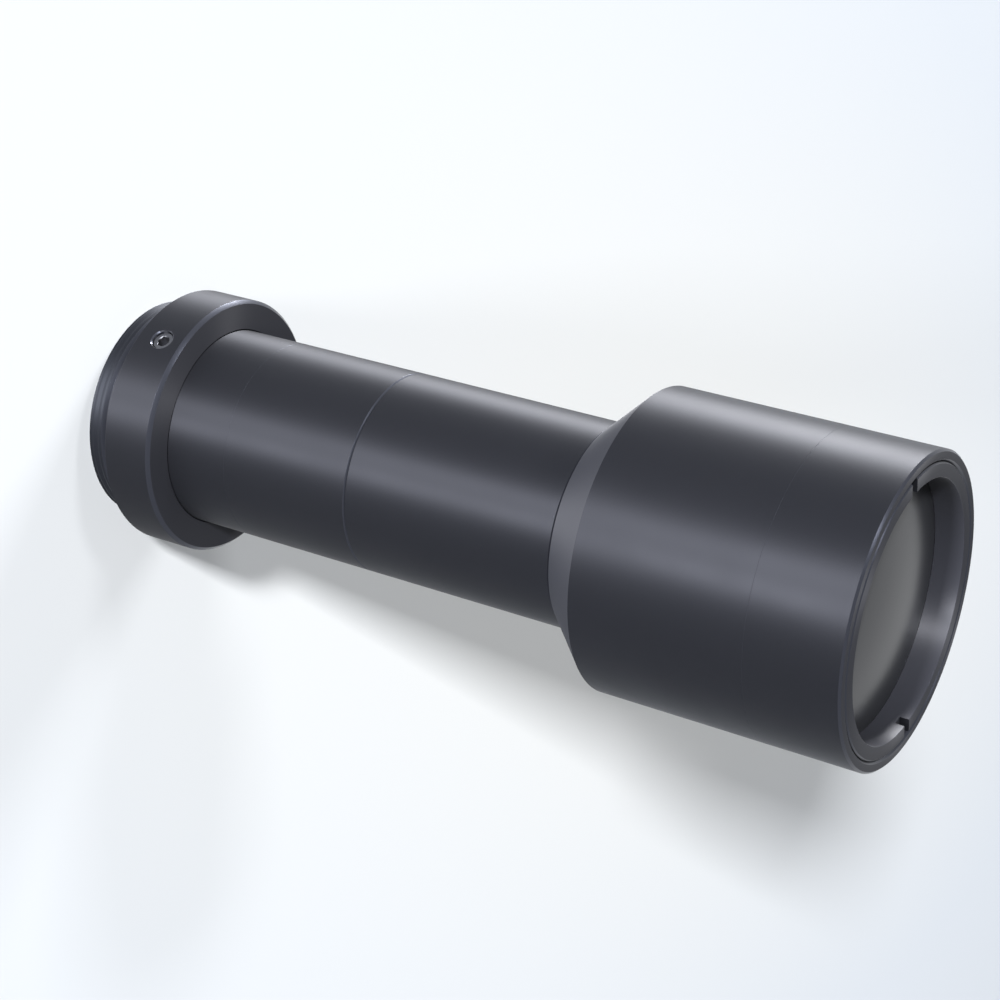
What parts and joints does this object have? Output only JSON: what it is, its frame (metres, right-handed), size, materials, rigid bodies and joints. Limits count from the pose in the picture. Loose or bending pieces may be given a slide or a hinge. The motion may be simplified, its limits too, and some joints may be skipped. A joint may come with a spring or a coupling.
{
  "type": "c-mount lens",
  "caption": "Slim dark machine-vision lens with a wide front barrel, turning in a threaded camera mount whose collar clamps it with set screws.",
  "frame": {"origin": "centre of the camera flange plane, on the optical axis", "axes": "+Z along the optical axis towards the front glass; +X through the first set screw"},
  "size_m": [0.033, 0.033, 0.0946],
  "materials": {
    "anodised_housing": "satin black anodised",
    "anodised_ring": "satin black anodised",
    "matt_black_inner": "matt black anodised",
    "blackened_steel": "matt black oxide",
    "black_oxide_steel": "black oxide",
    "coated_front_glass": "polished, multi-coated",
    "inner_glass": "polished, coated"
  },
  "bodies": {
    "camera_mount": {"c_mount_ring": "anodised_housing", "set_screw_1": "black_oxide_steel", "set_screw_2": "black_oxide_steel", "set_screw_3": "black_oxide_steel"},
    "lens_body": {"rear_cell": "anodised_housing", "tail_lens": "inner_glass", "rear_spacer": "matt_black_inner", "eye_lens": "inner_glass", "rear_retaining_ring": "matt_black_inner", "rear_tube": "anodised_housing", "relay_flint": "inner_glass", "relay_crown": "inner_glass", "relay_retaining_ring": "matt_black_inner", "front_tube": "anodised_housing", "aperture_stop": "blackened_steel", "stop_retaining_ring": "matt_black_inner", "tube_baffle_1": "matt_black_inner", "tube_baffle_2": "matt_black_inner", "main_barrel": "anodised_housing", "field_lens": "inner_glass", "field_retaining_ring": "matt_black_inner", "front_cap": "anodised_housing", "objective_flint": "inner_glass", "objective_crown": "coated_front_glass", "front_retaining_ring": "anodised_ring"}
  },
  "joints": [
    {"name": "lens_turn", "type": "hinge", "parent": "camera_mount", "child": "lens_body", "pos_m": [0, 0, 0], "axis": [0, 0, 1], "continuous": true}
  ]
}
